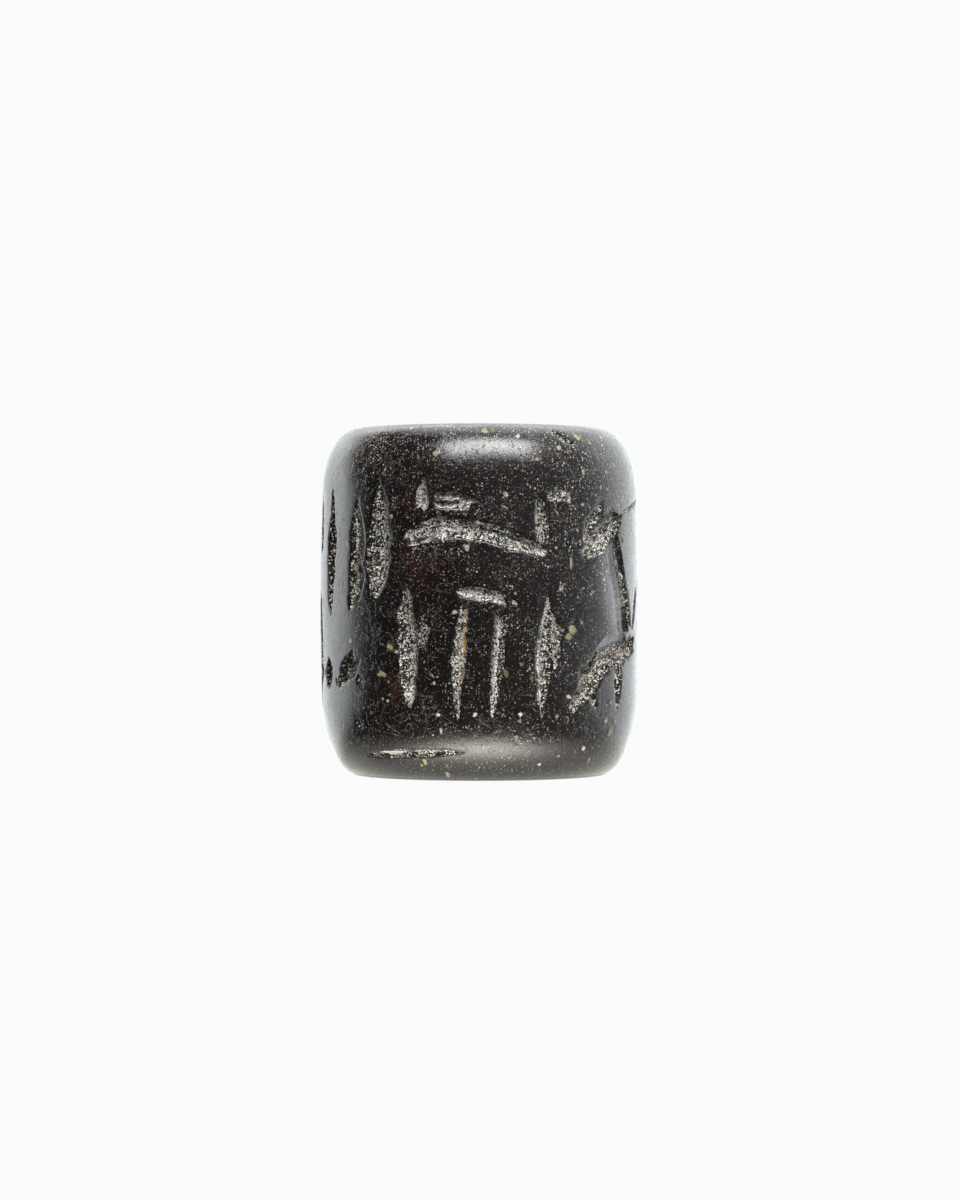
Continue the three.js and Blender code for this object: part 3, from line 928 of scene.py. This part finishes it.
def black_stone():
    stone = Finish("black_stone")
    place = millimetres(stone)
    sheet = unrolled_millimetres(stone)
    in_cut = stone.ramp(stone.attribute("cut"), 0.015, 0.06)
    grain = stone.ramp(stone.attribute("grain"), 0.35, 0.65)
    ochre = stone.attribute("ochre")
    earth = stone.attribute("earth")
    dust = stone.attribute("dust")

    # The stone's own colour: black, with brown where light gets into it
    upright = stone.noise(stone.stretched(place, (0.35, 0.35, 1.5)), 1.0, 3.0)
    bloom = stone.attribute("bloom") * stone.ramp(upright, 0.3, 0.7)
    body = stone.mix(bloom * 0.55, (0.006, 0.004, 0.0035), (0.04, 0.014, 0.006))

    # Dust ground into the polish, more on one side and near the top, and pale and yellow specks. The pale
    # flecks, stronger near the top, are partly painted glints below the top highlight.
    across = stone.node("ShaderNodeSeparateXYZ", {}, {"Vector": place}, output="X")
    above_middle = across.sibling("Z") - MID_HEIGHT
    clouds = stone.noise(place, 0.33, 3.0) + across * 0.02 + above_middle * 0.018
    denser_up_and_right = stone.ramp(clouds, 0.46, 0.7)
    powder = stone.ramp(stone.noise(place, 6.0, 3.0, 0.7), 0.54, 0.7)
    body = stone.mix(powder * (0.06 + 0.54 * denser_up_and_right), body, (0.085, 0.077, 0.076))
    shift = stone.node("ShaderNodeTexNoise", {}, {"Vector": place, "Scale": 6.0}, "Color")
    shifted = {0: shift, 1: (0.2, 0.2, 0.2), 2: place}
    bent = stone.node("ShaderNodeVectorMath", {"operation": "MULTIPLY_ADD"}, shifted)
    patches = 0.1 * stone.noise(place, 1.1, 2.0) + 0.08 * denser_up_and_right
    # Pale flecks: specks, and painted glints that grow denser towards the top
    flecks_and_painted_glints = stone.ramp(stone.noise(place, 12.0, 2.0, 0.8) + patches, 0.69, 0.75)
    body = stone.mix(flecks_and_painted_glints * 0.25, body, (0.2, 0.19, 0.18))
    drifts = stone.ramp(stone.noise(place, 0.8, 3.0), 0.42, 0.62)
    dots, dot_tint = specks(stone, place, 0.13, 0.016, 0.042, 0.5)
    fine, fine_tint = specks(stone, bent, 0.45, 0.025, 0.07, 0.4)
    large, large_tint = specks(stone, bent, 1.1, 0.05, 0.13, 0.4)
    steep = stone.stretched(stone.moved(sheet, (3.1, 0.7, 0.0)), (1.0, 0.35, 1.0), 38)
    rising, rising_tint = specks(stone, steep, 0.32, 0.02, 0.08, 0.25)
    shallow = stone.stretched(sheet, (0.35, 1.0, 1.0), 24)
    falling, falling_tint = specks(stone, shallow, 0.32, 0.02, 0.08, 0.25)
    for spots, tint, strength in (
        (dots * (0.3 + 0.7 * denser_up_and_right) * (0.35 + 0.65 * drifts), dot_tint, 1.0),
        (fine * (0.35 + 0.5 * denser_up_and_right), fine_tint, 0.8),
        (rising * (0.3 + 0.4 * denser_up_and_right), rising_tint, 0.8),
        (falling * (0.3 + 0.4 * denser_up_and_right), falling_tint, 0.8),
        (large, large_tint, 0.8),
    ):
        spot_colour = stone.node("ShaderNodeValToRGB", {"stops": SPECK_TINTS}, {"Fac": tint})
        body = stone.mix(spots * strength, body, spot_colour)

    # Scratches in the polish
    scratched = scratches(stone, sheet, 6, 3.0)
    for angle, seed in ((34, 17.0), (71, 29.0), (112, 41.0), (158, 53.0)):
        scratched = stone.most(scratched, scratches(stone, sheet, angle, seed))
    body = stone.mix(scratched * 0.25, body, (0.16, 0.155, 0.145))

    # The rough inside of the strokes: pale crystals and streaks over dark ground, and earth. A pale line
    # along each floor is partly painted reflection, and the brightest crystals are painted glints.
    along = stone.attribute("along")
    combed = {"X": along * 1.8, "Y": stone.attribute("across") * 12.0, "Z": 0.0}
    streaks = stone.noise(stone.node("ShaderNodeCombineXYZ", {}, combed), 1.0, 2.0, 0.6)
    granules = stone.noise(place, 9.0, 3.0, 0.7)
    crystals = chance_cells(stone, place, 0.062)
    lumps = stone.noise(place, 2.4, 2.0)
    cover = 0.22 * crystals + 0.36 * granules + 0.3 * streaks + 0.4 * lumps + 0.2 * dust
    # The pale line along each floor is partly painted reflection
    cover = stone.ramp(cover + 0.27 * stone.attribute("core"), 0.8, 0.95)
    ground = stone.mix(dust, (0.003, 0.0025, 0.002), (0.014, 0.013, 0.012))
    earthy = stone.ramp(stone.noise(place, 2.6, 3.0), 0.42, 0.6) * earth
    ground = stone.mix(earthy * 0.4, ground, (0.04, 0.028, 0.012))
    pale = stone.mix(stone.ramp(crystals, 0.1, 1.0), (0.12, 0.116, 0.105), (0.5, 0.485, 0.45))
    pale = stone.mix(earthy * 0.7, pale, (0.3, 0.23, 0.1))
    crust = stone.mix(cover, ground, pale)
    # The brightest crystals are painted near white: painted glints
    painted_sparkle = stone.ramp(chance_cells(stone, place, 0.066) + 0.5 * granules, 1.09, 1.15)
    crust = stone.mix(painted_sparkle * 0.85, crust, (0.75, 0.73, 0.66))
    crust = stone.mix(ochre * stone.ramp(granules, 0.38, 0.5), crust, (0.62, 0.29, 0.05))
    colour = stone.mix(in_cut, body, crust)
    # White of the chip at the foot, and painted reflection along the floors of some cuts
    fresh = stone.ramp(stone.attribute("fresh") + 0.35 * crystals, 0.78, 0.9)
    colour = stone.mix(fresh, colour, (0.7, 0.69, 0.65))

    # Grains that stand on the surface
    tint = {"Fac": stone.attribute("grain_tint")}
    grain_colour = stone.node("ShaderNodeValToRGB", {"stops": GRAIN_TINTS}, tint)
    hollow = stone.most(stone.ramp(granules, 0.48, 0.62), 1 - stone.ramp(stone.attribute("grain"), 0.5, 0.95))
    grain_colour = stone.mix(hollow * 0.8, grain_colour, (0.05, 0.042, 0.022))
    colour = stone.mix(grain, colour, grain_colour)

    # Sheen
    smudge = stone.ramp(stone.noise(place, 0.9, 4.0, 0.6), 0.35, 0.7)
    gloss = 0.17 + 0.05 * smudge + 0.1 * powder
    dull = stone.most(in_cut * (0.3 + 0.7 * cover), stone.most(grain, fine * 0.4))
    roughness = gloss + dull * 0.5

    # Relief, in millimetres
    peel = 0.009 * stone.noise(place, 8.0, 3.0, 0.7)
    dimples = stone.ramp(stone.noise(stone.stretched(place, (0.2, 0.2, 0.6)), 1.0, 2.0), 0.6, 0.68)
    polished = peel - 0.006 * scratched - 0.012 * dimples - 0.012 * dots + 0.004 * fine + 0.01 * large
    crusty = 0.055 * granules + 0.03 * streaks + 0.015 * crystals
    relief = {"Strength": 1.0, "Distance": MM, "Height": polished + in_cut * crusty}
    bump = stone.node("ShaderNodeBump", {}, relief)
    sockets = {"Base Color": colour, "Roughness": roughness, "IOR": 1.5, "Normal": bump}
    shiny = stone.node("ShaderNodeBsdfPrincipled", {}, sockets)
    sockets["Specular IOR Level"] = 0.1
    matt = stone.node("ShaderNodeBsdfPrincipled", {}, sockets)
    crusted = {0: in_cut * 0.9, 1: shiny, 2: matt}
    return stone.finish(stone.node("ShaderNodeMixShader", {}, crusted))


# The stage: a pale floor and surroundings, and round the seal a screen that the camera doesn't see,
# dark before its front and pale at its sides, with soft lights above, behind and at its foot

PALE_GROUND = (0.955, 0.963, 0.963)
COOL = (0.94, 0.98, 1.0)
WARM = (1.0, 0.98, 0.9)
SCREEN_DISTANCE = 420.0
FOOT_LIGHT_REACH = 13.0  # from the seal's axis, and the screen on the floor begins there
FLOOR_SHEET_HEIGHT = 0.05


class Fade(NamedTuple):
    azimuth: float  # in degrees from the camera's side towards +X
    radiance: float
    top: float = 0.0  # elevation of the screen's upper edge in degrees


SCREEN = [
    Fade(-180, 1.2, 62),
    Fade(-160, 1.7, 62),
    Fade(-139, 1.9, 62),
    Fade(-126, 2.8, 62),
    Fade(-112, 4.0, 66),
    Fade(-107.5, 4.0, 74),
    Fade(-101.5, 0.15, 78),
    Fade(-96, 0.03, 78),
    Fade(-50, 0.03, 68),
    Fade(-14, 0.03, 50),
    Fade(6, 0.18, 38),
    Fade(24, 0.26, 38),
    Fade(60, 0.3, 58),
    Fade(86, 0.45, 58),
    Fade(98, 1.15, 58),
    Fade(110, 2.3, 58),
    Fade(150, 2.6, 62),
    Fade(180, 1.8, 62),
]
FLOOR_SCREEN = [
    Fade(-180, 1.6),
    Fade(-150, 2.2),
    Fade(-106, 2.4),
    Fade(-95, 1.2),
    Fade(-85, 0.05),
    Fade(-14, 0.05),
    Fade(14, 0.08),
    Fade(40, 0.16),
    Fade(66, 0.45),
    Fade(86, 1.4),
    Fade(104, 2.2),
    Fade(150, 2.2),
    Fade(180, 1.6),
]

# How far the screen's left edge is swung back at each elevation, in degrees, which keeps its reflection
# upright on the seal's rounded top
EDGE_DRIFT = [(0, 0), (12, 9), (25, 21), (40, 35), (55, 49)]
EDGE_DRIFT_AT_TOP = 60


def faded(fades, azimuth):
    """Radiance and upper edge at an azimuth."""
    azimuths = [fade.azimuth for fade in fades]
    radiance = np.interp(azimuth, azimuths, [fade.radiance for fade in fades])
    return float(radiance), float(np.interp(azimuth, azimuths, [fade.top for fade in fades]))


def stage_mesh(name, corners, faces):
    """A mesh of the stage, from corners in millimetres."""
    mesh = bpy.data.meshes.new(name)
    mesh.from_pydata([Vector(corner) * MM for corner in corners], [], faces)
    made = bpy.data.objects.new(name, mesh)
    bpy.context.scene.collection.objects.link(made)
    return made


def make_floor():
    half = 3000.0
    corners = [(-half, -half, 0), (half, -half, 0), (half, half, 0), (-half, half, 0)]
    floor = stage_mesh("floor", corners, [(0, 1, 2, 3)])
    finish = Finish("pale_floor")
    glow = {"Color": (*PALE_GROUND, 1.0), "Strength": 1.0}
    floor.data.materials.append(finish.finish(finish.node("ShaderNodeEmission", {}, glow)))


def glowing_sheet(name, rows, tint):
    """A sheet of light through rows of (corner, radiance), seen by the seal and not by the camera."""
    corners = [corner for row in rows for corner, _ in row]
    count = len(rows[0])
    faces = []
    for first in range(0, len(corners) - count, count):
        for k in range(first, first + count - 1):
            faces.append((k, k + 1, k + 1 + count, k + count))
    sheet = stage_mesh(name, corners, faces)
    glow = sheet.data.attributes.new("glow", "FLOAT", "POINT")
    glow.data.foreach_set("value", [radiance for row in rows for _, radiance in row])
    finish = Finish(name)
    glowing = {0: tint, "Scale": finish.attribute("glow")}
    colour = finish.node("ShaderNodeVectorMath", {"operation": "SCALE"}, glowing)
    light = finish.node("ShaderNodeEmission", {}, {"Color": colour})
    sheet.data.materials.append(finish.finish(light))
    sheet.visible_camera = False


def direction(azimuth, elevation):
    """A direction from the seal: azimuth from the camera's side towards +X, in degrees."""
    turn = math.radians(azimuth)
    tilt = math.radians(elevation)
    return Vector(
        (math.sin(turn) * math.cos(tilt), -math.cos(turn) * math.cos(tilt), math.sin(tilt))
    )


def make_screen():
    """Upright round the stage, and on the floor between there and the seal."""
    upright = []
    for azimuth in np.linspace(SCREEN[0].azimuth, SCREEN[-1].azimuth, 121):
        top = faded(SCREEN, azimuth)[1]
        column = []
        for elevation, drift in (*EDGE_DRIFT, (top, EDGE_DRIFT_AT_TOP)):
            radiance = faded(SCREEN, azimuth + (drift if azimuth < 0 else 0))[0]
            up = Vector((0, 0, SCREEN_DISTANCE * math.tan(math.radians(elevation))))
            column.append((direction(azimuth, 0) * SCREEN_DISTANCE + up, radiance))
        upright.append(column)
    glowing_sheet("screen", upright, COOL)
    level = Vector((0, 0, FLOOR_SHEET_HEIGHT))
    flat = []
    for azimuth in np.linspace(FLOOR_SCREEN[0].azimuth, FLOOR_SCREEN[-1].azimuth, 121):
        radiance = faded(FLOOR_SCREEN, azimuth)[0]
        ways = (direction(azimuth, 0) * distance + level for distance in (FOOT_LIGHT_REACH, SCREEN_DISTANCE))
        flat.append([(way, radiance) for way in ways])
    glowing_sheet("floor_screen", flat, COOL)


def make_foot_light():
    """The floor close to the seal, with a soft patch of light that the rounding of the foot reflects."""
    middle_azimuth = 2.0
    middle_distance = 9.9
    azimuth_spread = 27.0
    distance_spread = 1.2
    strength = 12.4
    near = 6.8
    near_radiance = 1.6
    rows = []
    for azimuth in np.linspace(-180, 180, 121):
        beyond = faded(FLOOR_SCREEN, azimuth)[0]
        row = []
        for distance in np.linspace(near, FOOT_LIGHT_REACH, 14):
            off_azimuth = (azimuth - middle_azimuth) / azimuth_spread
            off_distance = (distance - middle_distance) / distance_spread
            patch = strength * math.exp(-(off_azimuth**2) - off_distance**2)
            away = (distance - near) / (FOOT_LIGHT_REACH - near)
            glow = patch + (1 - away) * near_radiance + away * beyond
            row.append((direction(azimuth, 0) * distance + Vector((0, 0, FLOOR_SHEET_HEIGHT)), glow))
        rows.append(row)
    glowing_sheet("foot_light", rows, WARM)


def softbox(name, azimuth, elevation, distance, width, height, radiance):
    """An area light that faces the seal's middle; its sizes are in metres."""
    light = bpy.data.lights.new(name, "AREA")
    light.shape = "RECTANGLE"
    light.size = width
    light.size_y = height
    light.energy = radiance * math.pi * width * height
    made = bpy.data.objects.new(name, light)
    towards = direction(azimuth, elevation)
    made.location = Vector((0, 0, MID_HEIGHT * MM)) + towards * distance
    made.rotation_euler = towards.to_track_quat("Z", "Y").to_euler()
    made.visible_camera = False
    bpy.context.scene.collection.objects.link(made)


def make_stage():
    make_floor()
    world = bpy.data.worlds.new("surroundings")
    world.use_nodes = True
    background = world.node_tree.nodes["Background"]
    background.inputs["Color"].default_value = (*PALE_GROUND, 1.0)
    background.inputs["Strength"].default_value = 1.0
    bpy.context.scene.world = world
    make_screen()
    make_foot_light()
    softbox("key", 9, 53, 0.34, 0.34, 0.14, 18.0)
    softbox("ceiling", 180, 70, 0.36, 0.36, 0.3, 2.6)


# The camera, placed as for the photograph: 960 by 1200 with the seal a little below the middle

def make_camera():
    picture_height = 1200
    millimetres_a_pixel = 0.05335
    lens = 100.0
    sensor = 36.0
    view_height = picture_height * millimetres_a_pixel
    seal_right_of_middle = -0.5
    seal_below_middle = 2.0
    data = bpy.data.cameras.new("camera")
    data.lens = lens
    data.sensor_fit = "VERTICAL"
    data.sensor_height = sensor
    data.clip_start = 0.01
    camera = bpy.data.objects.new("camera", data)
    camera.location = Vector(
        (
            -seal_right_of_middle * millimetres_a_pixel,
            -view_height * lens / sensor,
            MID_HEIGHT + seal_below_middle * millimetres_a_pixel,
        )
    ) * MM
    camera.rotation_euler = (math.pi / 2, 0, 0)
    bpy.context.scene.collection.objects.link(camera)
    bpy.context.scene.camera = camera


make_camera()
make_stage()
bpy.context.scene.view_settings.view_transform = "Standard"

seal = make_seal()
seal.data.materials.append(black_stone())
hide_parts("seal_stone")
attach(seal, "root")
